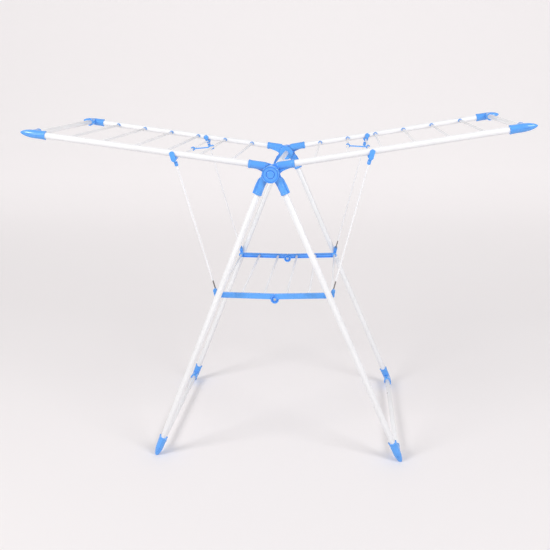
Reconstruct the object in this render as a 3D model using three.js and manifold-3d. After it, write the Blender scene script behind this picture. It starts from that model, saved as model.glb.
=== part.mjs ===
// A gull-wing clothes drying rack: two X-crossed leg frames and two wings turn on one axle.
// Millimetres, +Z up, the wings spread along X, the axle along Y, the origin on the floor under the axle.
import * as THREE from "three";
import { mergeVertices } from "three/addons/utils/BufferGeometryUtils.js";
import Module from "manifold-3d";

const wasm = await Module();
wasm.setup();

// ---- driving dimensions ----

const GAP = 0.3; // left between pieces that touch
const AXLE_HEIGHT = 900;
const WING_RISE = THREE.MathUtils.degToRad(8.3); // above level
const LEG_DROP = THREE.MathUtils.degToRad(67.5); // below level

// Each frame lies in its own planes along Y: the wings inside, the legs outside.
const WING_PLANE = 276;
const LEG_PLANE = 300;
const WING = { offset: 17, plane: WING_PLANE, crossAt: 712 };
const LEG = { offset: 14.4, plane: LEG_PLANE, crossAt: 948 };

const SIDE_TUBE = { radius: 9.5, wall: 0.8, sides: 16 };
const CROSS_TUBE = { radius: 8, wall: 0.8, sides: 12 };
const RUNG = { radius: 4, wall: 0.7, sides: 8, first: 126, pitch: 98, count: 6 };

// The hub: the rings of the four arms stack up on the axle's pin, from the wings out to the cap.
const AXLE = { radius: 8, pinRadius: 6, shoulder: 263.7, capFrom: 311.9, capTo: 320, capRadius: 25 };
const RING_RADIUS = 24;
const RING_LAYERS = {
  left_wing: [264, 275.5],
  right_wing: [275.8, 287.5],
  left_leg: [288.2, 299.8],
  right_leg: [300.1, 311.6],
};
const SOCKET = { radius: 11.5, from: 30, bore: 40, to: 70 };

// The elbow at every frame corner: a bullet nose on the side tube's line, a side socket for the cross tube.
const ELBOW = { mouth: 40, bore: 24, sideRadius: 12, sideReach: 46, crossSeat: 4 };
const ELBOW_PROFILE = [
  [0, -40],
  [13.2, -40],
  [13.2, -37],
  [12.3, -33],
  [12.3, -8],
  [11.8, 3],
  [10.2, 15],
  [7.4, 26],
  [4.2, 34],
  [0, 38],
];

// Points in the X-Z plane, right-hand side, measured from the axle.
const STRUT_FOOT = { x: 178, z: -352 };
const STRUT_HEAD = { x: 283.5, z: 44.5 };
const SHELF_END = { x: 173, z: -374 };
const SHELF_HINGE = { x: 0, z: -387 };
const STRUT = { radius: 3, plane: 276, pegTo: 287.5, bend: 7, sides: 8 };

const BRACKET = {
  from: 281,
  to: LEG_PLANE - SIDE_TUBE.radius - GAP,
  boreTo: 288,
  strutRadius: 7.5,
  shelfRadius: 6.4,
};
const BAR = { from: 253.5, to: 261.5, height: 17, knuckle: 13 };
const ROD = { radius: 3.8, sides: 8, seatedTo: 259, pitch: 69.2, count: 3 };
const TIE = { radius: 2.1, plane: 256.3 }; // the wire that joins a shelf half's rods inside each bar
const CLIP = { cheekRadius: 7.5, topShift: 6.5, outerThick: 3.6, innerThick: 4 };
const LINK = { width: 12, thickness: 3.2, ringRadius: 7.6, hookRadius: 7 };
const WIRE_PLAY = 0.5; // round the strut's wire where it lies in a clip or a hook

const white = { color: 0xf4f4f6, roughness: 0.35, metalness: 0.0 };
const blue = { color: 0x5aa6fb, roughness: 0.3, metalness: 0.0 };

// ---- solids ----

function solid(geometry) {
  geometry.deleteAttribute("normal");
  geometry.deleteAttribute("uv");
  const merged = mergeVertices(geometry, 1e-4);
  return new wasm.Manifold(
    new wasm.Mesh({
      numProp: 3,
      vertProperties: Float32Array.from(merged.attributes.position.array),
      triVerts: Uint32Array.from(merged.index.array),
    }),
  );
}

function surface(manifold) {
  const mesh = manifold.getMesh();
  const geometry = new THREE.BufferGeometry();
  geometry.setAttribute("position", new THREE.BufferAttribute(mesh.vertProperties, 3));
  geometry.setIndex(new THREE.BufferAttribute(mesh.triVerts, 1));
  geometry.computeVertexNormals();
  return geometry;
}

// A round bar between two points.
function bar(start, end, radius, sides) {
  const from = new THREE.Vector3(...start);
  const to = new THREE.Vector3(...end);
  const along = to.clone().sub(from);
  const geometry = new THREE.CylinderGeometry(radius, radius, along.length(), sides);
  const turn = new THREE.Quaternion().setFromUnitVectors(
    new THREE.Vector3(0, 1, 0),
    along.normalize(),
  );
  geometry.applyQuaternion(turn);
  geometry.translate(...from.add(to).multiplyScalar(0.5).toArray());
  return solid(geometry);
}

function tube(start, end, { radius, wall, sides }) {
  return bar(start, end, radius, sides).subtract(bar(start, end, radius - wall, sides));
}

// The part of a Y layer on one side: side -1 is local -Y, +1 is local +Y.
function layer(side, [from, to]) {
  return side > 0 ? [from, to] : [-to, -from];
}

// A round boss or bore along Y through one layer.
function pin(x, z, radius, side, range, sides = 16) {
  const [low, high] = layer(side, range);
  return bar([x, low, z], [x, high, z], radius, sides);
}

// A flat plate: an outline in X and Z, thick along Y.
function plate(outline, side, range) {
  const [low, high] = layer(side, range);
  const geometry = new THREE.ExtrudeGeometry(
    new THREE.Shape(outline.map(([x, z]) => new THREE.Vector2(x, z))),
    { depth: high - low, bevelEnabled: false },
  );
  geometry.rotateX(Math.PI / 2);
  geometry.translate(0, high, 0);
  return solid(geometry);
}

// The outline round two circles, as the belt round two wheels.
function beltOutline(first, second, steps = 5) {
  const heading = Math.atan2(second.z - first.z, second.x - first.x);
  const apart = Math.hypot(second.x - first.x, second.z - first.z);
  const lean = Math.acos((first.radius - second.radius) / apart);
  const outline = [];
  for (let i = 0; i <= steps; i++) {
    const angle = heading - lean + (2 * lean * i) / steps;
    outline.push([
      second.x + second.radius * Math.cos(angle),
      second.z + second.radius * Math.sin(angle),
    ]);
  }
  for (let i = 0; i <= steps; i++) {
    const angle = heading + lean + ((2 * Math.PI - 2 * lean) * i) / steps;
    outline.push([
      first.x + first.radius * Math.cos(angle),
      first.z + first.radius * Math.sin(angle),
    ]);
  }
  return outline;
}

// A path through corner points with each corner rounded, sampled only where it bends.
class BentWire extends THREE.Curve {
  constructor(corners, radius, steps = 6) {
    super();
    this.stops = [corners[0]];
    for (let i = 1; i < corners.length - 1; i++) {
      const before = corners[i - 1].clone().sub(corners[i]).normalize();
      const after = corners[i + 1].clone().sub(corners[i]).normalize();
      const reach = radius / Math.tan(before.angleTo(after) / 2);
      const bend = new THREE.QuadraticBezierCurve3(
        corners[i].clone().addScaledVector(before, reach),
        corners[i],
        corners[i].clone().addScaledVector(after, reach),
      );
      this.stops.push(...bend.getPoints(steps));
    }
    this.stops.push(corners[corners.length - 1]);
  }
  get steps() {
    return this.stops.length - 1;
  }
  getPointAt(u, target = new THREE.Vector3()) {
    return target.copy(this.stops[Math.round(u * this.steps)]);
  }
  getTangentAt(u, target = new THREE.Vector3()) {
    const here = Math.round(u * this.steps);
    const before = this.stops[Math.max(here - 1, 0)];
    const after = this.stops[Math.min(here + 1, this.steps)];
    return target.subVectors(after, before).normalize();
  }
}

function bentWire(corners, bendRadius, wireRadius, sides) {
  const path = new BentWire(corners, bendRadius);
  const section = new THREE.Shape();
  section.absarc(0, 0, wireRadius, 0, 2 * Math.PI);
  const geometry = new THREE.ExtrudeGeometry(section, {
    steps: path.steps,
    curveSegments: sides / 2,
    extrudePath: path,
    bevelEnabled: false,
  });
  return solid(geometry);
}

// ---- pieces of a frame: X runs out along the frame from the axle, Z is the outer face ----

// One arm of the hub: a ring on the pin, a web, and the socket the side tube sits in.
function hubArm(frame, side, ringLayer) {
  const { offset, plane } = frame;
  const ring = pin(0, 0, RING_RADIUS, side, ringLayer, 24);
  const web = plate(
    [
      [0, -20],
      [20, -9],
      [30, 1],
      [46, offset - 10],
      [46, offset + 10],
      [30, offset + 10.5],
      [14, 24.5],
      [0, 22],
    ],
    side,
    ringLayer,
  );
  const y = side * plane;
  const socket = bar([SOCKET.from, y, offset], [SOCKET.to, y, offset], SOCKET.radius, 16);
  const tubeBore = bar(
    [SOCKET.bore, y, offset],
    [SOCKET.to + 1, y, offset],
    SIDE_TUBE.radius + GAP,
    16,
  );
  const pinBore = pin(0, 0, AXLE.pinRadius + GAP, side, [200, 400]);
  return ring.add(web).add(socket).subtract(tubeBore).subtract(pinBore);
}

function sideTube(frame, side) {
  const y = side * frame.plane;
  const start = [SOCKET.bore + GAP, y, frame.offset];
  const end = [frame.crossAt - ELBOW.bore - GAP, y, frame.offset];
  return tube(start, end, SIDE_TUBE);
}

function crossTube(frame) {
  const reach = frame.plane - ELBOW.crossSeat - GAP;
  const { crossAt, offset } = frame;
  return tube([crossAt, -reach, offset], [crossAt, reach, offset], CROSS_TUBE);
}

function elbow(frame, side) {
  const y = side * frame.plane;
  const { crossAt, offset } = frame;
  const body = new THREE.LatheGeometry(
    ELBOW_PROFILE.map(([radius, along]) => new THREE.Vector2(radius, along)),
    16,
  );
  body.rotateZ(-Math.PI / 2);
  body.translate(crossAt, y, offset);
  const inner = y - side * ELBOW.sideReach;
  const sideSocket = bar([crossAt, y, offset], [crossAt, inner, offset], ELBOW.sideRadius, 16);
  const tubeBore = bar(
    [crossAt - ELBOW.mouth - 1, y, offset],
    [crossAt - ELBOW.bore, y, offset],
    SIDE_TUBE.radius + GAP,
    16,
  );
  const crossBore = bar(
    [crossAt, y - side * ELBOW.crossSeat, offset],
    [crossAt, inner - side, offset],
    CROSS_TUBE.radius + GAP,
    12,
  );
  return solid(body).add(sideSocket).subtract(tubeBore).subtract(crossBore);
}

function rung(index) {
  const along = RUNG.first + RUNG.pitch * index;
  const reach = WING_PLANE - SIDE_TUBE.radius - GAP;
  return tube([along, -reach, WING.offset], [along, reach, WING.offset], RUNG);
}

// A point of the X-Z plane in a frame's own X and Z.
function inFrame(point, tilt) {
  return {
    x: point.x * Math.cos(tilt) + point.z * Math.sin(tilt),
    z: -point.x * Math.sin(tilt) + point.z * Math.cos(tilt),
  };
}

// The clip on a wing's side tube that the head of the strut rests in: two cheeks and a bridge below.
function clip(side) {
  const head = inFrame(STRUT_HEAD, WING_RISE);
  const top = { x: head.x + CLIP.topShift, z: WING.offset - 1, radius: CLIP.cheekRadius };
  const foot = { x: head.x, z: head.z - 2.5, radius: CLIP.cheekRadius };
  const innerFace = WING_PLANE - SIDE_TUBE.radius - GAP;
  const outerFace = WING_PLANE + SIDE_TUBE.radius + GAP;
  const innerCheek = [innerFace - CLIP.innerThick, innerFace];
  const outerCheek = [outerFace, outerFace + CLIP.outerThick];
  const tubeUnderside = WING.offset - SIDE_TUBE.radius - GAP;
  const bridge = plate(
    [
      [head.x - 12, head.z - 1],
      [head.x - 5, head.z - 1],
      [head.x - 5, tubeUnderside - 0.2],
      [head.x - 12, tubeUnderside - 0.2],
    ],
    side,
    [innerCheek[0], outerCheek[1]],
  );
  const openLayer = [innerCheek[0] - 1, WING_PLANE];
  const wireSlot = plate(
    [
      [head.x, head.z - STRUT.radius - WIRE_PLAY],
      [head.x + 30, head.z - STRUT.radius - 4],
      [head.x + 30, head.z + STRUT.radius + WIRE_PLAY],
      [head.x, head.z + STRUT.radius + WIRE_PLAY],
    ],
    side,
    openLayer,
  );
  const wireSeat = pin(head.x, head.z, STRUT.radius + WIRE_PLAY, side, openLayer);
  return plate(beltOutline(foot, top), side, outerCheek)
    .add(plate(beltOutline(foot, top), side, innerCheek))
    .add(bridge)
    .subtract(wireSlot)
    .subtract(wireSeat);
}

// The bracket on the inner face of a leg: the strut's peg and the shelf's end turn in it.
function bracket(side, shelfTurnsHere) {
  const shelf = inFrame(SHELF_END, -LEG_DROP);
  const strut = inFrame(STRUT_FOOT, -LEG_DROP);
  const outline = beltOutline(
    { ...strut, radius: BRACKET.strutRadius },
    { ...shelf, radius: BRACKET.shelfRadius },
  );
  const body = plate(outline, side, [BRACKET.from, BRACKET.to]);
  const strutBore = pin(strut.x, strut.z, STRUT.radius + GAP, side, [270, BRACKET.boreTo]);
  const drilled = body.subtract(strutBore);
  if (shelfTurnsHere) {
    return drilled.subtract(
      pin(shelf.x, shelf.z, ROD.radius + GAP, side, [270, BRACKET.boreTo]),
    );
  }
  return drilled.add(
    pin(shelf.x, shelf.z, ROD.radius, side, [BAR.to + GAP, BRACKET.from + 1], ROD.sides),
  );
}

// ---- pieces between the frames: world X and Z from the axle, mirrored for the left ----

function strut(mirror) {
  const at = (point, y) => new THREE.Vector3(mirror * point.x, y, point.z);
  const corners = [
    at(STRUT_FOOT, -STRUT.pegTo),
    at(STRUT_FOOT, -STRUT.plane),
    at(STRUT_HEAD, -STRUT.plane),
    at(STRUT_HEAD, STRUT.plane),
    at(STRUT_FOOT, STRUT.plane),
    at(STRUT_FOOT, STRUT.pegTo),
  ];
  return bentWire(corners, STRUT.bend, STRUT.radius, STRUT.sides);
}

// The link from the wing's second rung to the strut: a ring on the rung, an open hook on the strut.
function lockLink(mirror) {
  const rungAt = RUNG.first + RUNG.pitch;
  const ringCentre = {
    x: mirror * (rungAt * Math.cos(WING_RISE) - WING.offset * Math.sin(WING_RISE)),
    z: rungAt * Math.sin(WING_RISE) + WING.offset * Math.cos(WING_RISE),
  };
  const hookCentre = { x: mirror * STRUT_HEAD.x, z: STRUT_HEAD.z };
  const range = [-LINK.width / 2, LINK.width / 2];
  const web = plate(
    beltOutline(
      { ...ringCentre, radius: LINK.thickness / 2 },
      { ...hookCentre, radius: LINK.thickness / 2 },
      4,
    ),
    1,
    range,
  );
  const ring = pin(ringCentre.x, ringCentre.z, LINK.ringRadius, 1, range);
  const hook = pin(hookCentre.x, hookCentre.z, LINK.hookRadius, 1, range);
  const wide = [range[0] - 1, range[1] + 1];
  const rungBore = pin(ringCentre.x, ringCentre.z, RUNG.radius + GAP, 1, wide);
  const strutBore = pin(hookCentre.x, hookCentre.z, STRUT.radius + WIRE_PLAY, 1, wide);
  const mouthOutline = [
    [0, 3.4],
    [12, 1],
    [12, -9],
    [0, -3.4],
  ];
  const mouth = plate(
    mouthOutline.map(([x, z]) => [hookCentre.x + mirror * x, hookCentre.z + z]),
    1,
    wide,
  );
  return web.add(ring).add(hook).subtract(rungBore).subtract(strutBore).subtract(mouth);
}

// How a shelf half lies: from its end on the leg to the middle, sloping down by the dip.
const barDrop = SHELF_END.z - (SHELF_HINGE.z + BAR.height / 2);
const barSlope = Math.atan2(barDrop, SHELF_END.x);
const barLength = Math.hypot(barDrop, SHELF_END.x);

// The point at a distance along a shelf half's middle line.
function alongBar(mirror, distance) {
  return {
    x: mirror * (SHELF_END.x - distance * Math.cos(barSlope)),
    z: SHELF_END.z - distance * Math.sin(barSlope),
  };
}

// The left half's outermost rod runs on through its bars and turns in the brackets.
function turnsInBracket(mirror, index) {
  return index === 0 && mirror < 0;
}

// One side bar of a shelf half; the two halves' knuckles share the bar's thickness, hinge at the lower edge.
function shelfBar(mirror, side) {
  const half = BAR.height / 2;
  const middle = (BAR.from + BAR.to) / 2;
  const outerKnuckle = [middle + GAP / 2, BAR.to];
  const innerKnuckle = [BAR.from, middle - GAP / 2];
  const own = mirror < 0 ? outerKnuckle : innerKnuckle;
  const other = mirror < 0 ? [BAR.from - 1, middle + GAP / 2] : [middle - GAP / 2, BAR.to + 1];
  const start = alongBar(mirror, 0);
  const end = alongBar(mirror, barLength);
  const rise = half / Math.cos(barSlope);
  const outline = [
    [start.x, start.z - half],
    [start.x, start.z + half],
    [mirror * GAP, end.z + rise],
    [mirror * GAP, end.z - rise],
  ];
  const { x: hingeX, z: hingeZ } = SHELF_HINGE;
  const lastRod = alongBar(mirror, (ROD.count - 1) * ROD.pitch);
  const groove = plate(
    beltOutline({ ...start, radius: TIE.radius + GAP }, { ...lastRod, radius: TIE.radius + GAP }),
    side,
    [BAR.from - 1, TIE.plane + TIE.radius + GAP],
  );
  let body = plate(outline, side, [BAR.from, BAR.to])
    .add(pin(start.x, start.z, half, side, [BAR.from, BAR.to]))
    .subtract(pin(hingeX, hingeZ, BAR.knuckle + 0.5, side, other))
    .add(pin(hingeX, hingeZ, BAR.knuckle, side, own))
    .subtract(groove);
  for (let i = 0; i < ROD.count; i++) {
    const at = alongBar(mirror, i * ROD.pitch);
    const boreTo = turnsInBracket(mirror, i) ? BAR.to + 1 : ROD.seatedTo + GAP;
    body = body.subtract(pin(at.x, at.z, ROD.radius + GAP, side, [BAR.from - 1, boreTo]));
  }
  return body;
}

// The rods of a shelf half, seated in holes of both bars and joined inside each bar by a tie wire.
function shelfRods(mirror) {
  const first = alongBar(mirror, 0);
  const last = alongBar(mirror, (ROD.count - 1) * ROD.pitch);
  const parts = [-1, 1].map((side) => {
    const y = side * TIE.plane;
    return bar([first.x, y, first.z], [last.x, y, last.z], TIE.radius, ROD.sides);
  });
  for (let i = 0; i < ROD.count; i++) {
    const at = alongBar(mirror, i * ROD.pitch);
    const reach = turnsInBracket(mirror, i) ? BRACKET.boreTo - GAP : ROD.seatedTo;
    parts.push(bar([at.x, -reach, at.z], [at.x, reach, at.z], ROD.radius, ROD.sides));
  }
  return parts.reduce((all, part) => all.add(part));
}

// The axle tube, its pins through the arms and the round cap at each end, all one piece.
function hubAxle() {
  let axle = bar([0, -AXLE.shoulder, 0], [0, AXLE.shoulder, 0], AXLE.radius, 16);
  axle = axle.add(bar([0, -AXLE.capTo + 1, 0], [0, AXLE.capTo - 1, 0], AXLE.pinRadius, 16));
  for (const side of [-1, 1]) {
    axle = axle.add(pin(0, 0, AXLE.capRadius, side, [AXLE.capFrom, AXLE.capTo], 24));
  }
  return axle;
}

// ---- assembly ----

const rack = new THREE.Group();
rack.name = "drying_rack";
rack.position.z = AXLE_HEIGHT;

function put(group, name, manifold, look) {
  const mesh = new THREE.Mesh(surface(manifold), new THREE.MeshStandardMaterial(look));
  mesh.name = name;
  group.add(mesh);
}

// A frame's group: turned half round for the left, then tilted about the axle.
function frameGroup(mirror, tilt) {
  const group = new THREE.Group();
  group.rotation.set(0, -mirror * tilt, mirror < 0 ? Math.PI : 0);
  rack.add(group);
  return group;
}

// Everything below the floor, in a leg frame's own axes.
function belowFloor(group) {
  const block = new THREE.BoxGeometry(3000, 3000, 200);
  block.translate(0, 0, -AXLE_HEIGHT - 100);
  group.updateMatrix();
  block.applyMatrix4(group.matrix.clone().invert());
  return solid(block);
}

put(rack, "hub_axle", hubAxle(), white);

for (const [hand, mirror] of [["left", -1], ["right", 1]]) {
  const wing = frameGroup(mirror, WING_RISE);
  const leg = frameGroup(mirror, -LEG_DROP);
  for (const side of [-1, 1]) {
    const end = mirror * side < 0 ? "near" : "far";
    const wingRing = RING_LAYERS[`${hand}_wing`];
    const legRing = RING_LAYERS[`${hand}_leg`];
    put(wing, `${hand}_wing_hub_arm_${end}`, hubArm(WING, side, wingRing), blue);
    put(wing, `${hand}_wing_tube_${end}`, sideTube(WING, side), white);
    put(wing, `${hand}_wing_corner_${end}`, elbow(WING, side), blue);
    put(wing, `${hand}_wing_clip_${end}`, clip(side), blue);
    put(leg, `${hand}_leg_hub_arm_${end}`, hubArm(LEG, side, legRing), blue);
    put(leg, `${hand}_leg_tube_${end}`, sideTube(LEG, side), white);
    put(leg, `${hand}_leg_foot_${end}`, elbow(LEG, side).subtract(belowFloor(leg)), blue);
    put(leg, `${hand}_leg_bracket_${end}`, bracket(side, hand === "left"), blue);
  }
  put(wing, `${hand}_wing_end_tube`, crossTube(WING), white);
  put(leg, `${hand}_leg_floor_tube`, crossTube(LEG), white);
  for (let i = 0; i < RUNG.count; i++) {
    put(wing, `${hand}_wing_rung_${i + 1}`, rung(i), white);
  }
  put(rack, `${hand}_strut`, strut(mirror), white);
  put(rack, `${hand}_lock_link`, lockLink(mirror), blue);
  put(rack, `${hand}_shelf_bar_near`, shelfBar(mirror, -1), blue);
  put(rack, `${hand}_shelf_bar_far`, shelfBar(mirror, 1), blue);
  put(rack, `${hand}_shelf_rods`, shelfRods(mirror), white);
}

export default rack;
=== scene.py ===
"""The looks of the clothes drying rack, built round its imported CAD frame."""

import math

import bmesh
import bpy
from mathutils import Matrix, Vector


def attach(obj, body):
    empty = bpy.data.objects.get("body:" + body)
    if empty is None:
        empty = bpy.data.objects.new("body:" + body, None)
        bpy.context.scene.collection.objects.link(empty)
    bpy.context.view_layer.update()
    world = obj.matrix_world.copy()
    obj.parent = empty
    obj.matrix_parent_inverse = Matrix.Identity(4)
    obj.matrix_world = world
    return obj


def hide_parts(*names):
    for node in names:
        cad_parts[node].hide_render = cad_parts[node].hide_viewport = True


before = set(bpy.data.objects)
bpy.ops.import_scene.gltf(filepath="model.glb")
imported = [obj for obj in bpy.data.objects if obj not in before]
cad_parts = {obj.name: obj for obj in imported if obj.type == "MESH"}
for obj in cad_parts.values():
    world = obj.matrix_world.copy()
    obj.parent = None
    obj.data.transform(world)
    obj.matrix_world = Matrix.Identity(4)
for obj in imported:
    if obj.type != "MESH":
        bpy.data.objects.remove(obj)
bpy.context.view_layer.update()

# ---- dimensions, in millimetres, the same as the CAD part's ----

MM = 0.001
AXLE_HEIGHT = 900
WING_RISE = math.radians(8.3)
LEG_DROP = math.radians(67.5)
WING_PLANE = 276
LEG_PLANE = 300
WING_OFFSET = 17
LEG_OFFSET = 14.4
WING_CROSS_AT = 712
LEG_CROSS_AT = 948
SIDE_RADIUS = 9.5
SIDE_TUBE_START = 44
SIDE_TUBE_SEAT = 24
CROSS_RADIUS = 8
CROSS_TUBE_SEAT = 6
RUNG_RADIUS = 4
RUNG_FIRST = 126
RUNG_PITCH = 98
RUNG_COUNT = 6
GROMMET_INNER = 4.1
GROMMET_OUTER = 6.5
AXLE_RADIUS = 8
AXLE_REACH = 264
SOCKET_RADIUS = 11.8
SOCKET_END = 70
SOCKET_LIP = 0.7
RING_RADIUS = 24
RING_STACK = (262, 313)
RING_LAYERS = {
    "left_wing": (264, 275.5),
    "right_wing": (275.8, 287.5),
    "left_leg": (288.2, 299.8),
    "right_leg": (300.1, 311.6),
}
CAP_SEAT = 311.9
ELBOW_RADIUS = 12.3
ELBOW_MOUTH = 40
ELBOW_SIDE_REACH = 46
NOSE_START = -6
NOSE_LENGTH = 44
WING_NOTCH = 2
FOOT_NOTCH = 6
WING_FLARE = 13.2
FOOT_FLARE = 13.9
STRUT_FOOT = (178, -352)
STRUT_HEAD = (283.5, 44.5)
STRUT_RADIUS = 3
STRUT_PLANE = 276
STRUT_PEG = 287.5
STRUT_BEND = 7
BARE_FOOT = 29
BARE_FOOT_THINNER = 1.0
CLIP_CHEEK_RADIUS = 7.5
CLIP_TOP_SHIFT = 6.5
CLIP_FACE = SIDE_RADIUS + 0.2
LINK_HALF_WIDTH = 6
SHELF_END = (173, -374)
SHELF_HINGE = (0, -387)
BAR_FROM = 253.5
BAR_TO = 261.5
BAR_MIDDLE = (BAR_FROM + BAR_TO) / 2
BAR_HEIGHT = 17
SHELF_DROP = SHELF_END[1] - (SHELF_HINGE[1] + BAR_HEIGHT / 2)
BAR_MIDDLE_GAP = 0.4
BAR_LIP = 2.4
BAR_WEB = 3
KNUCKLE_RADIUS = 13
ROD_RADIUS = 3.8
ROD_PITCH = 69.2
ROD_COUNT = 3
BRACKET_FROM = 281
BRACKET_TO = 290.2
BRACKET_STRUT_RADIUS = 5.9
BRACKET_SHELF_RADIUS = 5.6
HINGE_ROD_REACH = 287.5

HANDS = (("left", -1), ("right", 1))
SIDES = (-1, 1)
OUT = Vector((1, 0, 0))


def end_name(mirror, side):
    """near or far, from a frame's hand and the local side of its Y axis."""
    return "near" if mirror * side < 0 else "far"


# ---- frames of reference ----

AT_AXLE = Matrix.Translation((0, 0, AXLE_HEIGHT))


def tilted(mirror, tilt):
    """A frame's own axes: X out along it, Z its outer face, turned half round for the left hand."""
    turned = Matrix.Rotation(math.pi, 4, "Z") if mirror < 0 else Matrix.Identity(4)
    return AT_AXLE @ Matrix.Rotation(-mirror * tilt, 4, "Y") @ turned


def in_frame(point, tilt):
    """A point (x, z) measured from the axle, in a tilted frame's own X and Z."""
    x, z = point
    return (
        x * math.cos(tilt) + z * math.sin(tilt),
        z * math.cos(tilt) - x * math.sin(tilt),
    )


# ---- closed solids, as lists of vertices and faces ----

def loft(rings):
    """A closed skin through rings of equal size; a ring of one point closes to a tip."""
    vertices = [v for ring in rings for v in ring]
    size = len(rings[0])
    faces = [tuple(reversed(range(size)))]
    for i in range(len(rings) - 1):
        low = i * size
        for k in range(size):
            n = (k + 1) % size
            faces.append((low + k, low + n, low + size + n, low + size + k))
    last = (len(rings) - 1) * size
    faces.append(tuple(last + k for k in range(size)))
    return vertices, faces


def axes_across(along):
    """Two directions square to a line and to each other."""
    helper = Vector((0, 0, 1)) if abs(along.z) < 0.9 else Vector((1, 0, 0))
    first = along.cross(helper).normalized()
    return first, along.cross(first).normalized()


def lathe(start, along, profile, segments=40):
    """A turned solid: profile is a list of (distance along, radius)."""
    start = Vector(start)
    along = Vector(along).normalized()
    first, second = axes_across(along)
    rings = []
    for distance, radius in profile:
        centre = start + along * distance
        radius = max(radius, 0.01)
        ring = []
        for k in range(segments):
            angle = 2 * math.pi * k / segments
            spoke = first * math.cos(angle) + second * math.sin(angle)
            ring.append(centre + spoke * radius)
        rings.append(ring)
    return loft(rings)


def rod(start, end, radius, edge=0.4, segments=40):
    """A round bar with eased edges."""
    start, end = Vector(start), Vector(end)
    length = (end - start).length
    profile = [
        (0, 0),
        (0, radius - edge),
        (edge * 0.3, radius - edge * 0.3),
        (edge, radius),
        (length - edge, radius),
        (length - edge * 0.3, radius - edge * 0.3),
        (length, radius - edge),
        (length, 0),
    ]
    return lathe(start, end - start, profile, segments)


def sweep(points, radius, segments=20):
    """A round wire along a chain of points."""
    tangents = []
    for i in range(len(points)):
        before = points[max(i - 1, 0)]
        after = points[min(i + 1, len(points) - 1)]
        tangents.append((after - before).normalized())
    across, _ = axes_across(tangents[0])
    rings = []
    for point, tangent in zip(points, tangents):
        across = (across - tangent * across.dot(tangent)).normalized()
        other = tangent.cross(across)
        ring = []
        for k in range(segments):
            angle = 2 * math.pi * k / segments
            ring.append(point + (across * math.cos(angle) + other * math.sin(angle)) * radius)
        rings.append(ring)
    return loft(rings)


def rounded_path(corners, bend, steps=8):
    """The chain of points through the corners, each inner corner rounded."""
    points = [corners[0]]
    for before, corner, after in zip(corners, corners[1:], corners[2:]):
        back = (before - corner).normalized()
        ahead = (after - corner).normalized()
        reach = bend / math.tan(back.angle(ahead) / 2)
        start = corner + back * reach
        end = corner + ahead * reach
        for k in range(steps + 1):
            t = k / steps
            points.append(start * (1 - t) ** 2 + corner * (2 * t * (1 - t)) + end * t ** 2)
    points.append(corners[-1])
    return points


def plate(outline, low, high):
    """A flat plate: an outline of (x, z) points, thick from Y low to Y high."""
    rings = [[Vector((x, y, z)) for x, z in outline] for y in (low, high)]
    return loft(rings)


def belt(first, second, first_radius, second_radius, steps=12):
    """The outline round two circles, as a belt round two wheels."""
    dx, dz = second[0] - first[0], second[1] - first[1]
    heading = math.atan2(dz, dx)
    lean = math.acos((first_radius - second_radius) / math.hypot(dx, dz))
    outline = []
    for centre, radius, start, turn in (
        (second, second_radius, heading - lean, 2 * lean),
        (first, first_radius, heading + lean, 2 * math.pi - 2 * lean),
    ):
        for i in range(steps + 1):
            angle = start + turn * i / steps
            outline.append(
                (centre[0] + radius * math.cos(angle), centre[1] + radius * math.sin(angle))
            )
    return outline


def arc_band(centre, inner, outer, start, end, low, high, steps=20):
    """Part of a ring round a Y axis: from angle start to end in the X-Z plane."""
    angles = [start + (end - start) * i / steps for i in range(steps + 1)]
    sections = []
    for angle in angles:
        c, s = math.cos(angle), math.sin(angle)
        sections.append(
            [
                Vector((centre[0] + r * c, y, centre[1] + r * s))
                for r, y in ((inner, low), (outer, low), (outer, high), (inner, high))
            ]
        )
    return loft(sections)


def layer(side, from_, to):
    """The part of a Y layer on one local side, low before high."""
    return (from_, to) if side > 0 else (-to, -from_)


# ---- turning solids into pieces ----

def to_mesh(name, solids, place):
    """One mesh in metres from solids given in a frame's own millimetres."""
    vertices, faces = [], []
    for some_vertices, some_faces in solids:
        first = len(vertices)
        vertices += [(place @ v) * MM for v in some_vertices]
        faces += [tuple(first + i for i in face) for face in some_faces]
    mesh = bpy.data.meshes.new(name)
    mesh.from_pydata(vertices, [], faces)
    work = bmesh.new()
    work.from_mesh(mesh)
    bmesh.ops.recalc_face_normals(work, faces=work.faces)
    work.to_mesh(mesh)
    work.free()
    return mesh


def piece(name, solids, material, body, place=AT_AXLE, bevel=0.0):
    """A shown piece that rides on a CAD body, its hard edges eased by bevel millimetres."""
    mesh = to_mesh(name, solids, place)
    thing = bpy.data.objects.new(name, mesh)
    bpy.context.collection.objects.link(thing)
    mesh.materials.append(material)
    if bevel:
        ease = thing.modifiers.new("ease", "BEVEL")
        ease.width = bevel * MM
        ease.segments = 3
        ease.limit_method = "ANGLE"
        ease.angle_limit = math.radians(35)
    for polygon in mesh.polygons:
        polygon.use_smooth = True
    crease_sharp_edges(mesh)
    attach(thing, body)
    return thing


def crease_sharp_edges(mesh, angle=math.radians(50)):
    """Marks edges sharper than the angle, so that smooth shading stops there."""
    work = bmesh.new()
    work.from_mesh(mesh)
    for edge in work.edges:
        if len(edge.link_faces) == 2 and edge.calc_face_angle() > angle:
            edge.smooth = False
    work.to_mesh(mesh)
    work.free()


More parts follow.
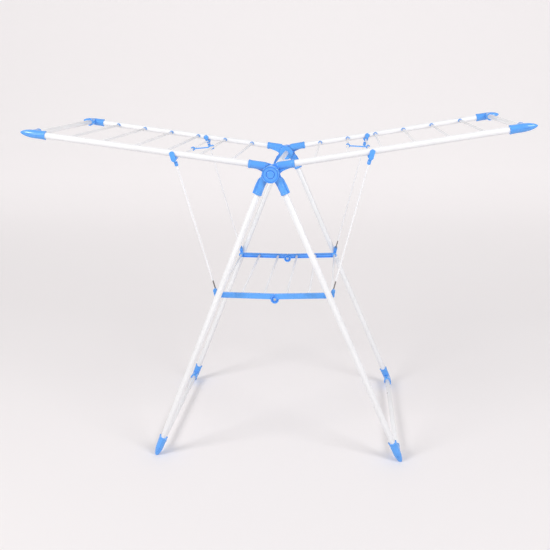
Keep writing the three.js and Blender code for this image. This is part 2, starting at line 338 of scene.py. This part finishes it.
def moulded(name, solids, material, body, place=AT_AXLE, grain=0.8, rounds=4):
    """A moulded plastic piece: its solids melted into one skin with soft inner corners."""
    source = bpy.data.objects.new(name + "_source", to_mesh(name, solids, place))
    bpy.context.collection.objects.link(source)
    melt = source.modifiers.new("melt", "REMESH")
    melt.mode = "VOXEL"
    melt.voxel_size = grain * MM
    soften = source.modifiers.new("soften", "SMOOTH")
    soften.factor = 0.5
    soften.iterations = rounds
    bpy.context.view_layer.update()
    depsgraph = bpy.context.evaluated_depsgraph_get()
    mesh = bpy.data.meshes.new_from_object(source.evaluated_get(depsgraph))
    bpy.data.objects.remove(source)
    mesh.name = name
    mesh.materials.clear()
    mesh.materials.append(material)
    for polygon in mesh.polygons:
        polygon.use_smooth = True
    for vertex in mesh.vertices:
        vertex.co.z = max(vertex.co.z, 0.0)
    thing = bpy.data.objects.new(name, mesh)
    bpy.context.collection.objects.link(thing)
    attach(thing, body)
    return thing


# ---- materials ----

def new_material(name, slot):
    """An empty node material that remembers the CAD slot it stands for."""
    material = bpy.data.materials.new(name)
    material["slot"] = slot
    material.use_nodes = True
    return material, material.node_tree, material.node_tree.nodes["Principled BSDF"]


def noise(tree, scale, detail=4.0, stretch=(1, 1, 1)):
    """A noise pattern in metres of the object's own space."""
    nodes, links = tree.nodes, tree.links
    place = nodes.new("ShaderNodeTexCoord")
    mapping = nodes.new("ShaderNodeMapping")
    mapping.inputs["Scale"].default_value = stretch
    links.new(place.outputs["Object"], mapping.inputs["Vector"])
    pattern = nodes.new("ShaderNodeTexNoise")
    pattern.inputs["Scale"].default_value = scale
    pattern.inputs["Detail"].default_value = detail
    links.new(mapping.outputs["Vector"], pattern.inputs["Vector"])
    return pattern.outputs["Fac"]


def ramp(tree, value, low, high, colours):
    """A value between low and high turned into the colours from first to last."""
    node = tree.nodes.new("ShaderNodeValToRGB")
    node.color_ramp.elements[0].position = low
    node.color_ramp.elements[1].position = high
    node.color_ramp.elements[0].color = (*colours[0], 1)
    node.color_ramp.elements[1].color = (*colours[1], 1)
    tree.links.new(value, node.inputs["Fac"])
    return node.outputs["Color"]


def spread(tree, value, low, high):
    """A 0 to 1 value mapped on to the range from low to high."""
    node = tree.nodes.new("ShaderNodeMapRange")
    node.inputs["From Min"].default_value = 0.3
    node.inputs["From Max"].default_value = 0.7
    node.inputs["To Min"].default_value = low
    node.inputs["To Max"].default_value = high
    tree.links.new(value, node.inputs["Value"])
    return node.outputs["Result"]


def mixed(tree, factor, first, second):
    """Two colours mixed by a factor socket."""
    node = tree.nodes.new("ShaderNodeMix")
    node.data_type = "RGBA"
    tree.links.new(factor, node.inputs["Factor"])
    for socket, colour in ((node.inputs[6], first), (node.inputs[7], second)):
        if isinstance(colour, tuple):
            socket.default_value = (*colour, 1)
        else:
            tree.links.new(colour, socket)
    return node.outputs[2]


def grained(tree, shader, layers):
    """Bumps laid over each other: layers of (pattern, strength, depth in millimetres)."""
    below = None
    for pattern, strength, depth in layers:
        bump = tree.nodes.new("ShaderNodeBump")
        bump.inputs["Strength"].default_value = strength
        bump.inputs["Distance"].default_value = depth * MM
        tree.links.new(pattern, bump.inputs["Height"])
        if below:
            tree.links.new(below, bump.inputs["Normal"])
        below = bump.outputs["Normal"]
    tree.links.new(below, shader.inputs["Normal"])


def powder_coat(name, slot, colour, dull):
    """White powder coat: orange peel, faint cloudiness and a few rubbed grey marks."""
    material, tree, shader = new_material(name, slot)
    cloud = ramp(tree, noise(tree, 14), 0.35, 0.65, (tuple(c * 0.965 for c in colour), colour))
    marks = ramp(tree, noise(tree, 70, 6.0, (1, 1, 2.5)), 0.66, 0.74, ((0, 0, 0), (0.35,) * 3))
    tree.links.new(mixed(tree, marks, cloud, (0.62, 0.61, 0.60)), shader.inputs["Base Color"])
    tree.links.new(spread(tree, noise(tree, 45), dull - 0.06, dull + 0.08), shader.inputs["Roughness"])
    grained(tree, shader, ((noise(tree, 1100, 2.0), 0.25, 0.12), (noise(tree, 160, 3.0), 0.12, 0.2)))
    shader.inputs["Coat Weight"].default_value = 0.25
    shader.inputs["Coat Roughness"].default_value = 0.2
    return material


def glossy_plastic(name, slot, colour, pale, crevice_shade):
    """Moulded blue plastic: flow clouding, fine grain, pale hairline scuffs, and painted shade that
    darkens the inner corners.
    """
    material, tree, shader = new_material(name, slot)
    cloud = ramp(tree, noise(tree, 30, 5.0), 0.3, 0.7, (tuple(c * 0.88 for c in colour), colour))
    scuffs = ramp(
        tree, noise(tree, 260, 8.0, (1, 0.35, 2.2)), 0.62, 0.72, ((0, 0, 0), (0.4,) * 3)
    )
    surface = mixed(tree, scuffs, cloud, pale)
    # Painted shade: concave inner corners, found by pointiness, turn towards the dark shade colour.
    shape = tree.nodes.new("ShaderNodeNewGeometry")
    crevice_shade_mask = ramp(tree, shape.outputs["Pointiness"], 0.47, 0.498, ((1, 1, 1), (0, 0, 0)))
    tree.links.new(mixed(tree, crevice_shade_mask, surface, crevice_shade), shader.inputs["Base Color"])
    tree.links.new(spread(tree, noise(tree, 90, 5.0), 0.17, 0.3), shader.inputs["Roughness"])
    grained(tree, shader, ((noise(tree, 1500, 2.0), 0.18, 0.08), (noise(tree, 220, 4.0), 0.1, 0.15)))
    shader.inputs["Coat Weight"].default_value = 0.35
    shader.inputs["Coat Roughness"].default_value = 0.12
    return material


def bare_steel(name, slot, dark, light):
    """Uncoated steel, with drawn lines and dark specks."""
    material, tree, shader = new_material(name, slot)
    drawn = noise(tree, 500, 3.0, (3, 3, 0.3))
    base = ramp(tree, drawn, 0.3, 0.7, (dark, light))
    specks = ramp(tree, noise(tree, 900, 6.0), 0.62, 0.7, ((0, 0, 0), (0.7,) * 3))
    tree.links.new(mixed(tree, specks, base, (0.12, 0.08, 0.06)), shader.inputs["Base Color"])
    tree.links.new(spread(tree, drawn, 0.32, 0.5), shader.inputs["Roughness"])
    grained(tree, shader, ((drawn, 0.2, 0.1),))
    shader.inputs["Metallic"].default_value = 0.8
    return material


WHITE = (0.88, 0.885, 0.90)
tube_white = powder_coat("tube_white", "white_tube", WHITE, 0.32)
rung_white = powder_coat("rung_white", "white_rung", WHITE, 0.34)
axle_white = powder_coat("axle_white", "white_axle", WHITE, 0.34)
strut_white = powder_coat("strut_white", "white_strut_wire", WHITE, 0.36)
rod_white = powder_coat("rod_white", "white_shelf_rod", WHITE, 0.34)
# The last colour is the painted shade laid into the plastic's inner corners.
blue = glossy_plastic(
    "sky_blue_plastic", "blue_plastic", (0.11, 0.40, 0.97), (0.20, 0.52, 0.99), (0.015, 0.15, 0.80)
)
steel = bare_steel("bare_steel", "white_strut_wire", (0.20, 0.19, 0.185), (0.38, 0.365, 0.35))
rivet_steel = bare_steel("rivet_steel", "white_shelf_rod", (0.45, 0.46, 0.48), (0.75, 0.76, 0.78))

# ---- pieces of the frames ----

def eased_ring(side, own):
    """A ring of the hub stack, its rims rounded."""
    low, high = layer(side, *own)
    thick = high - low
    ease = 1.2
    mid_ease = 0.35
    profile = [
        (0, RING_RADIUS - ease),
        (mid_ease, RING_RADIUS - mid_ease),
        (ease, RING_RADIUS),
        (thick - ease, RING_RADIUS),
        (thick - mid_ease, RING_RADIUS - mid_ease),
        (thick, RING_RADIUS - ease),
    ]
    return lathe((0, low, 0), (0, 1, 0), profile, 56)


def hub_arm(offset, plane, side, own, ribbed):
    """Ring, curved web and tube socket of one hub arm; the legs' arms have a rib and two bumps."""
    y = side * plane
    socket_profile = [
        (9, 2.5),
        (14, 7.0),
        (21.5, SOCKET_RADIUS),
        (SOCKET_END - 7, SOCKET_RADIUS),
        (SOCKET_END - 6.6, SOCKET_RADIUS + SOCKET_LIP),
        (SOCKET_END - 0.7, SOCKET_RADIUS + SOCKET_LIP),
        (SOCKET_END, SOCKET_RADIUS),
    ]
    socket = lathe((0, y, offset), OUT, socket_profile)
    throat = (0.8, 1.8) if ribbed else (-4, 0)
    lower_edge = [(0, -21), (12, -18), (20, -11.5), (26, throat[0]), (32, throat[1])]
    lower_edge += [(42, 3), (54, offset - 11.4)]
    upper_edge = [(50, offset + 9), (22, offset + 10.5), (8, 25), (0, 23)]
    web = plate(lower_edge + upper_edge, *layer(side, own[0] + 2, own[1] - 5))
    solids = [eased_ring(side, own), web, socket]
    if ribbed:
        rib = [(18, offset + 8), (SOCKET_END, offset + 9), (SOCKET_END, offset + 15.6)]
        rib += [(46, offset + 15.8), (28, offset + 14.4), (20, offset + 11)]
        solids.append(plate(rib, *layer(side, plane - 2, plane + 6)))
        for along in (36, 46):
            bump = [(0, 3.2), (2.4, 2.8), (3.4, 1.6)]
            solids.append(lathe((along, y + side * 8, offset + 5), (0, side, 0), bump, 20))
    return solids


def clear_the_other_rings(arm, side, own, place):
    """Cuts away what of an arm would run through the rings of its neighbours on the axle."""
    bottom, top = layer(side, *RING_STACK)
    low, high = layer(side, *own)
    gap = 0.2
    thinnest = 1
    for from_, to in ((bottom, low - gap), (high + gap, top)):
        if to - from_ < thinnest:
            continue
        solid = rod((0, from_, 0), (0, to, 0), RING_RADIUS + 0.8, 0.1, 64)
        keep_out = bpy.data.objects.new("keep_out", to_mesh("keep_out", [solid], place))
        bpy.context.collection.objects.link(keep_out)
        carve = arm.modifiers.new("carve", "BOOLEAN")
        carve.operation = "DIFFERENCE"
        carve.object = keep_out
        carve.solver = "EXACT"
        apply_modifiers(arm)
        bpy.data.objects.remove(keep_out)


def apply_modifiers(thing):
    """Bakes a piece's modifiers into its mesh."""
    bpy.context.view_layer.update()
    depsgraph = bpy.context.evaluated_depsgraph_get()
    mesh = bpy.data.meshes.new_from_object(thing.evaluated_get(depsgraph))
    thing.modifiers.clear()
    thing.data = mesh


def forked_tube(start, along, up, profile, notch, count=48):
    """A tube whose first rings are scalloped: long at the lips (the up direction), short between."""
    start, along, up = Vector(start), Vector(along), Vector(up)
    across = along.cross(up)
    rings = []
    for distance, radius, scallop in profile:
        ring = []
        for k in range(count):
            angle = 2 * math.pi * k / count
            between = math.sin(angle) ** 2
            reach = distance + notch * scallop * between
            wide = radius - 0.8 * scallop * between
            spoke = up * math.cos(angle) + across * math.sin(angle)
            ring.append(start + along * reach + spoke * wide)
        rings.append(ring)
    return loft(rings)


def bullet(crossing, plane, offset, side, notch, flare):
    """The elbow at a frame corner: a bullet nose, a forked mouth and the cross tube's forked socket."""
    nose = [
        (-ELBOW_MOUTH, ELBOW_RADIUS, 1),
        (-ELBOW_MOUTH + 0.6, flare, 1),
        (-ELBOW_MOUTH + 4, 13.0, 1),
        (-28, 12.4, 0),
        (-7, ELBOW_RADIUS, 0),
    ]
    steps = 12
    taper = 1.25
    for k in range(steps + 1):
        angle = math.radians(90 * k / steps)
        along = NOSE_START + NOSE_LENGTH * math.sin(angle)
        nose.append((along, ELBOW_RADIUS * math.cos(angle) ** taper, 0))
    here = Vector((crossing, side * plane, offset))
    body = forked_tube(here, OUT, (0, 0, 1), nose, notch)
    reach = ELBOW_SIDE_REACH
    mouth = [(-reach, 11.9, 1), (-reach + 0.6, 12.9, 1), (-reach + 5, 12.4, 1), (-reach + 12, 11.6, 0)]
    mouth += [(-8, 11.6, 0), (0, 11.2, 0)]
    socket = forked_tube(here, (0, side, 0), (0, 0, 1), mouth, FOOT_NOTCH)
    ridge = plate(
        [
            (crossing - 32, offset - 1.4),
            (crossing - 32, offset + 1.4),
            (crossing + 14, offset + 1.0),
            (crossing + 14, offset - 1.0),
        ],
        *layer(side, plane + 9, plane + 12.9),
    )
    return [body, socket, ridge]


def frame_pieces(hand, mirror, kind, tilt, offset, plane, crossing):
    """The tubes, corners and hub arms that a wing and a leg frame both have."""
    place = tilted(mirror, tilt)
    body = f"{hand}_wing" if kind == "wing" else f"{hand}_leg_frame"
    corner, cross = ("corner", "end_tube") if kind == "wing" else ("foot", "floor_tube")
    fork = (WING_NOTCH, WING_FLARE) if kind == "wing" else (FOOT_NOTCH, FOOT_FLARE)
    prefix = f"{hand}_{kind}"
    for side in SIDES:
        end = end_name(mirror, side)
        y = side * plane
        tube = piece(
            f"{prefix}_side_tube_{end}",
            [rod((SIDE_TUBE_START, y, offset), (crossing - SIDE_TUBE_SEAT, y, offset), SIDE_RADIUS)],
            tube_white, body, place,
        )
        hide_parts(f"{prefix}_tube_{end}")
        arm = moulded(
            f"{prefix}_arm_{end}",
            hub_arm(offset, plane, side, RING_LAYERS[prefix], kind == "leg"),
            blue, body, place, grain=0.6, rounds=2,
        )
        clear_the_other_rings(arm, side, RING_LAYERS[prefix], place)
        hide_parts(f"{prefix}_hub_arm_{end}")
        elbow = moulded(
            f"{prefix}_bullet_{end}", bullet(crossing, plane, offset, side, *fork), blue, body, place
        )
        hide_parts(f"{prefix}_{corner}_{end}")
    reach = plane - CROSS_TUBE_SEAT
    bar = piece(
        f"{prefix}_cross_tube",
        [rod((crossing, -reach, offset), (crossing, reach, offset), CROSS_RADIUS)],
        tube_white, body, place,
    )
    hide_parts(f"{prefix}_{cross}")


def rungs(hand, mirror):
    """The rungs of a wing and the open ring that seats each end on the side tube."""
    place = tilted(mirror, WING_RISE)
    body = f"{hand}_wing"
    reach = WING_PLANE - SIDE_RADIUS
    for i in range(RUNG_COUNT):
        along = RUNG_FIRST + RUNG_PITCH * i
        name = f"{hand}_wing_rung_{i + 1}"
        rung = piece(
            name + "_rod",
            [rod((along, -reach, WING_OFFSET), (along, reach, WING_OFFSET), RUNG_RADIUS, 0.3, 28)],
            rung_white, body, place,
        )
        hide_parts(name)
        for side in SIDES:
            low, high = layer(side, reach - 4.5, reach + 2.5)
            grommet = arc_band(
                (along, WING_OFFSET), GROMMET_INNER, GROMMET_OUTER,
                math.radians(-35), math.radians(215), low, high,
            )
            piece(
                f"{name}_grommet_{end_name(mirror, side)}",
                [grommet], blue, body, place, bevel=0.6,
            )


def clips(hand, mirror):
    """The clips under a wing's side tubes that hold the strut's head."""
    place = tilted(mirror, WING_RISE)
    head_x, head_z = in_frame(STRUT_HEAD, WING_RISE)
    top = (head_x + CLIP_TOP_SHIFT, WING_OFFSET - 1)
    foot = (head_x, head_z - 2.5)
    outer_face = WING_PLANE + CLIP_FACE
    inner_face = WING_PLANE - CLIP_FACE
    for side in SIDES:
        cheek_outline = belt(foot, top, CLIP_CHEEK_RADIUS, CLIP_CHEEK_RADIUS)
        cheek = plate(cheek_outline, *layer(side, outer_face - 2, outer_face + 3.4))
        inner_arm = plate(belt(foot, top, 4.4, 5.5), *layer(side, inner_face - 4, inner_face + 1))
        boss = lathe(
            (top[0], side * (inner_face + 1), top[1]),
            (0, -side, 0),
            [(0, 8.3), (4, 8.3), (5.2, 7.6), (5.8, 6.0), (6.0, 2.0)],
        )
        hook = arc_band(
            (head_x, head_z), STRUT_RADIUS + 0.5, STRUT_RADIUS + 3.6,
            math.radians(35), math.radians(330),
            *layer(side, inner_face - 5, inner_face + 1),
        )
        bridge = plate(
            [
                (head_x - 9, head_z - 1),
                (head_x - 5, head_z - 1),
                (head_x - 5, WING_OFFSET - CLIP_FACE + 1),
                (head_x - 9, WING_OFFSET - CLIP_FACE + 1),
            ],
            *layer(side, inner_face - 3, outer_face + 1),
        )
        end = end_name(mirror, side)
        clip = moulded(
            f"{hand}_wing_strut_clip_{end}",
            [cheek, inner_arm, boss, hook, bridge],
            blue, f"{hand}_wing", place, grain=0.5, rounds=3,
        )
        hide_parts(f"{hand}_wing_clip_{end}")


def brackets(hand, mirror):
    """The brackets on the inner face of the legs."""
    place = tilted(mirror, -LEG_DROP)
    shelf = in_frame(SHELF_END, -LEG_DROP)
    strut = in_frame(STRUT_FOOT, -LEG_DROP)
    for side in SIDES:
        outline = belt(strut, shelf, BRACKET_STRUT_RADIUS, BRACKET_SHELF_RADIUS)
        body_plate = plate(outline, *layer(side, BRACKET_FROM, BRACKET_TO + 0.6))
        collar = lathe(
            (strut[0], side * (BRACKET_FROM + 1), strut[1]),
            (0, -side, 0),
            [(0, 5.6), (1.2, 5.3), (1.7, 4.6)],
        )
        boss = lathe(
            (shelf[0], side * (BRACKET_FROM + 1), shelf[1]),
            (0, -side, 0),
            [(0, 6.2), (6, 5.9), (8, 5.4), (BRACKET_FROM - BAR_TO - 0.3, 5.2)],
        )
        end = end_name(mirror, side)
        bracket = moulded(
            f"{hand}_leg_shelf_bracket_{end}",
            [body_plate, collar, boss],
            blue, f"{hand}_leg_frame", place, grain=0.5, rounds=3,
        )
        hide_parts(f"{hand}_leg_bracket_{end}")


# ---- pieces between the frames ----

def strut(hand, mirror):
    """The bent wire that props a wing, its bare steel feet and the blue sleeves at its head."""
    def at(point, y):
        return Vector((mirror * point[0], y, point[1]))

    body = f"{hand}_strut_frame"
    foot, head = at(STRUT_FOOT, 0), at(STRUT_HEAD, 0)
    up = (head - foot).normalized()
    bare_top = foot + up * BARE_FOOT
    ends = []
    for side in SIDES:
        ends.append(bare_top + Vector((0, side * STRUT_PLANE, 0)))
    corners = [ends[0], at(STRUT_HEAD, -STRUT_PLANE), at(STRUT_HEAD, STRUT_PLANE), ends[1]]
    wire = piece(
        f"{hand}_strut_wire", [sweep(rounded_path(corners, STRUT_BEND), STRUT_RADIUS)], strut_white, body
    )
    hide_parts(f"{hand}_strut")
    for side in SIDES:
        end = "near" if side < 0 else "far"
        corners = [
            at(STRUT_FOOT, side * STRUT_PEG),
            at(STRUT_FOOT, side * STRUT_PLANE),
            bare_top + Vector((0, side * STRUT_PLANE, 0)),
        ]
        piece(
            f"{hand}_strut_foot_{end}",
            [sweep(rounded_path(corners, STRUT_BEND - 1), STRUT_RADIUS - BARE_FOOT_THINNER)],
            steel, body,
        )
        sleeve = lathe(
            head + Vector((0, side * STRUT_PLANE, 0)) - up * 9.5,
            -up,
            [(0, 4.6), (0.6, 5.4), (3.0, 5.6), (3.6, 5.0), (4.4, 5.0), (5.0, 5.6), (13, 5.3), (14, 4.6)],
            32,
        )
        piece(f"{hand}_strut_sleeve_{end}", [sleeve], blue, body)


def lock_link(hand, mirror):
    """The thin blue link from a wing's second rung to the strut, an open ring at each end."""
    along = RUNG_FIRST + RUNG_PITCH
    ring = (
        mirror * (along * math.cos(WING_RISE) - WING_OFFSET * math.sin(WING_RISE)),
        along * math.sin(WING_RISE) + WING_OFFSET * math.cos(WING_RISE),
    )
    hook = (mirror * STRUT_HEAD[0], STRUT_HEAD[1])
    heading = math.atan2(hook[1] - ring[1], hook[0] - ring[0])
    inner_end = (ring[0] + 5.5 * math.cos(heading), ring[1] + 5.5 * math.sin(heading))
    outer_end = (hook[0] - 4.5 * math.cos(heading), hook[1] - 4.5 * math.sin(heading))
    web = plate(belt(inner_end, outer_end, 1.7, 1.7), -5.5, 5.5)
    rung_ring = arc_band(
        ring, RUNG_RADIUS + 0.3, 7.4, heading + math.radians(-140), heading + math.radians(150),
        -LINK_HALF_WIDTH, LINK_HALF_WIDTH,
    )
    opening = heading - mirror * math.radians(35)
    strut_ring = arc_band(
        hook, STRUT_RADIUS + 0.5, 6.7, opening + math.radians(50), opening + math.radians(310),
        -LINK_HALF_WIDTH, LINK_HALF_WIDTH,
    )
    link = piece(
        f"{hand}_wing_lock_link", [web, rung_ring, strut_ring], blue, f"{hand}_link", bevel=0.5
    )
    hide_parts(f"{hand}_lock_link")


def shelf_point(mirror, distance):
    """A point of a shelf half's middle line, at a distance from its end on the leg."""
    slope = math.atan2(SHELF_DROP, SHELF_END[0])
    return (
        mirror * (SHELF_END[0] - distance * math.cos(slope)),
        SHELF_END[1] - distance * math.sin(slope),
    )


def channel(mirror, side):
    """A shelf bar: a C section open towards the rods, from the leg to the middle of the shelf."""
    half = BAR_HEIGHT / 2
    section = [
        (-half, BAR_TO),
        (half, BAR_TO),
        (half, BAR_FROM),
        (half - BAR_LIP, BAR_FROM),
        (half - BAR_LIP, BAR_TO - BAR_WEB),
        (BAR_LIP - half, BAR_TO - BAR_WEB),
        (BAR_LIP - half, BAR_FROM),
        (-half, BAR_FROM),
    ]
    start = shelf_point(mirror, 0)
    middle = shelf_point(mirror, math.hypot(SHELF_END[0], SHELF_DROP))
    rings = []
    for x, z in (start, (mirror * BAR_MIDDLE_GAP, middle[1])):
        rings.append([Vector((x, side * y, z + up)) for up, y in section])
    return loft(rings)


def knuckle_disc(mirror, side):
    """A dished disc at the middle hinge; the two halves' discs share the bar's thickness."""
    outboard = mirror < 0
    low, high = (BAR_MIDDLE + 0.15, BAR_TO + 2.4) if outboard else (BAR_FROM - 2.4, BAR_MIDDLE - 0.15)
    face = high if outboard else low
    inward = -1 if outboard else 1
    profile = [
        (0.6, 0),
        (0.6, 6.2),
        (1.0, 6.8),
        (3.0, 7.2),
        (3.0, 9.0),
        (0.4, 9.6),
        (0, 10.2),
        (0, 12.2),
        (0.5, KNUCKLE_RADIUS),
        (high - low, KNUCKLE_RADIUS),
    ]
    start = (0, side * face, SHELF_HINGE[1])
    return lathe(start, (0, side * inward, 0), profile, 48)


def shelf_half(hand, mirror):
    """The two channel bars of a shelf half, their knuckles and the three rods between them."""
    body = f"{hand}_shelf_half"
    start = shelf_point(mirror, 0)
    half = BAR_HEIGHT / 2
    for side in SIDES:
        rounded = belt(start, (start[0] - mirror * 0.5, start[1]), half, half)
        name = "near" if side < 0 else "far"
        end_plate = plate(rounded, *layer(side, BAR_FROM, BAR_TO))
        bar = moulded(
            f"{hand}_shelf_channel_{name}",
            [channel(mirror, side), end_plate, knuckle_disc(mirror, side)],
            blue, body, grain=0.5, rounds=2,
        )
        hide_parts(f"{hand}_shelf_bar_{name}")
    rods = []
    for i in range(ROD_COUNT):
        x, z = shelf_point(mirror, i * ROD_PITCH)
        reach = HINGE_ROD_REACH if i == 0 and mirror < 0 else BAR_TO - 1.5
        rods.append(rod((x, -reach, z), (x, reach, z), ROD_RADIUS, 0.3, 28))
    grid = piece(f"{hand}_shelf_rod_set", rods, rod_white, body)
    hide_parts(f"{hand}_shelf_rods")


def shelf_rivets():
    """The domed pins of the shelf's middle hinge, each with a head at both ends."""
    for side in SIDES:
        name = "near" if side < 0 else "far"
        profile = [(0, 1.2), (0.4, 2.6), (1.0, 3.6), (1.8, 3.8), (2.6, 3.8), (2.7, 2.6), (13.3, 2.6)]
        profile += [(13.4, 3.8), (14.2, 3.8), (15.0, 3.6), (15.6, 2.6), (16.0, 1.2)]
        pin = lathe((0, side * (BAR_MIDDLE - 8), SHELF_HINGE[1]), (0, side, 0), profile, 32)
        piece(f"shelf_hinge_pin_{name}", [pin], rivet_steel, "left_shelf_half")


def hub():
    """The axle tube and the round caps that close the hub at both ends."""
    axle = piece(
        "axle_tube",
        [rod((0, -AXLE_REACH, 0), (0, AXLE_REACH, 0), AXLE_RADIUS)],
        axle_white, "left_leg_frame",
    )
    cap_profile = [
        (0, 24.2),
        (0.4, 24.8),
        (1.2, 25),
        (5.6, 25),
        (7.0, 24.6),
        (7.8, 23.9),
        (8.0, 23.1),
        (7.6, 22.3),
        (6.9, 21.8),
        (6.8, 20.5),
        (6.9, 13.4),
        (6.6, 12.8),
        (6.0, 12.4),
        (5.8, 11.8),
        (6.0, 11.2),
        (7.2, 10.6),
        (7.9, 9.4),
        (8.1, 6.0),
        (8.1, 0),
    ]
    for side in SIDES:
        name = "near" if side < 0 else "far"
        piece(
            f"hub_cap_{name}",
            [lathe((0, side * CAP_SEAT, 0), (0, side, 0), cap_profile, 72)],
            blue, "left_leg_frame",
        )
    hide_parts("hub_axle")


hub()
for hand, mirror in HANDS:
    frame_pieces(hand, mirror, "wing", WING_RISE, WING_OFFSET, WING_PLANE, WING_CROSS_AT)
    frame_pieces(hand, mirror, "leg", -LEG_DROP, LEG_OFFSET, LEG_PLANE, LEG_CROSS_AT)
    rungs(hand, mirror)
    clips(hand, mirror)
    brackets(hand, mirror)
    strut(hand, mirror)
    lock_link(hand, mirror)
    shelf_half(hand, mirror)
shelf_rivets()

# ---- stage ----

def studio_floor():
    """A pale sweep: a floor that curves up into a back wall, with a painted glow that grows from the
    front towards the back wall.
    """
    near_edge, bend_start, bend, half_width, top = -6, 4, 3, 12, 9
    steps = 12
    profile = [(near_edge, 0), (bend_start, 0)]
    for k in range(1, steps + 1):
        angle = math.radians(90 * k / steps)
        profile.append((bend_start + bend * math.sin(angle), bend - bend * math.cos(angle)))
    profile.append((bend_start + bend, top))
    vertices, faces = [], []
    for y, z in profile:
        vertices += [(-half_width, y, z), (half_width, y, z)]
    for i in range(len(profile) - 1):
        faces.append((2 * i, 2 * i + 1, 2 * i + 3, 2 * i + 2))
    mesh = bpy.data.meshes.new("studio_floor")
    mesh.from_pydata(vertices, [], faces)
    for polygon in mesh.polygons:
        polygon.use_smooth = True
    floor = bpy.data.objects.new("studio_floor", mesh)
    bpy.context.collection.objects.link(floor)
    material = bpy.data.materials.new("pale_floor")
    material.use_nodes = True
    tree = material.node_tree
    shader = tree.nodes["Principled BSDF"]
    shader.inputs["Base Color"].default_value = (0.81, 0.785, 0.79, 1)
    shader.inputs["Roughness"].default_value = 0.7
    # Painted light: the sweep glows though it is no lamp, faintly near the front and more towards the
    # back wall.
    shader.inputs["Emission Color"].default_value = (1.0, 0.97, 0.975, 1)
    place = tree.nodes.new("ShaderNodeTexCoord")
    split = tree.nodes.new("ShaderNodeSeparateXYZ")
    painted_glow_ramp = tree.nodes.new("ShaderNodeMapRange")
    painted_glow_ramp.inputs["From Min"].default_value = -1.6
    painted_glow_ramp.inputs["From Max"].default_value = 5
    painted_glow_ramp.inputs["To Min"].default_value = 0.0
    painted_glow_ramp.inputs["To Max"].default_value = 0.36
    tree.links.new(place.outputs["Object"], split.inputs["Vector"])
    tree.links.new(split.outputs["Y"], painted_glow_ramp.inputs["Value"])
    tree.links.new(painted_glow_ramp.outputs["Result"], shader.inputs["Emission Strength"])
    mesh.materials.append(material)


def area_light(name, place, target, size, power, colour):
    """A round softbox aimed at a point."""
    light = bpy.data.lights.new(name, "AREA")
    light.shape = "DISK"
    light.size = size
    light.energy = power
    light.color = colour
    thing = bpy.data.objects.new(name, light)
    thing.location = place
    aim = Vector(target) - Vector(place)
    thing.rotation_euler = aim.to_track_quat("-Z", "Y").to_euler()
    bpy.context.collection.objects.link(thing)


def studio_light():
    """A pale even room and two softboxes in front of the rack, left and right."""
    world = bpy.data.worlds.new("soft_room")
    bpy.context.scene.world = world
    world.use_nodes = True
    background = world.node_tree.nodes["Background"]
    background.inputs["Color"].default_value = (1.0, 0.985, 0.985, 1)
    background.inputs["Strength"].default_value = 0.45
    middle = (0, 0, 0.5)
    size = 1.8
    area_light("left_softbox", (-2.6, -2.6, 3.0), middle, size, 88, (1.0, 0.99, 0.98))
    area_light("right_softbox", (2.8, -2.6, 3.0), middle, size, 82, (0.99, 0.99, 1.0))
    bpy.context.scene.view_settings.view_transform = "Standard"


def photo_camera():
    """The camera at the photograph's viewing angle."""
    data = bpy.data.cameras.new("photo_camera")
    data.sensor_width = 36
    data.lens = 48.976
    camera = bpy.data.objects.new("photo_camera", data)
    swing = Matrix.Rotation(math.radians(5.538), 4, "Z")
    tip_down = Matrix.Rotation(math.radians(90 - 15.207), 4, "X")
    roll = Matrix.Rotation(math.radians(-1.141), 4, "Z")
    camera.matrix_world = Matrix.Translation((0.2124, -2.4290, 1.1821)) @ swing @ tip_down @ roll
    bpy.context.collection.objects.link(camera)
    bpy.context.scene.camera = camera


studio_floor()
studio_light()
photo_camera()
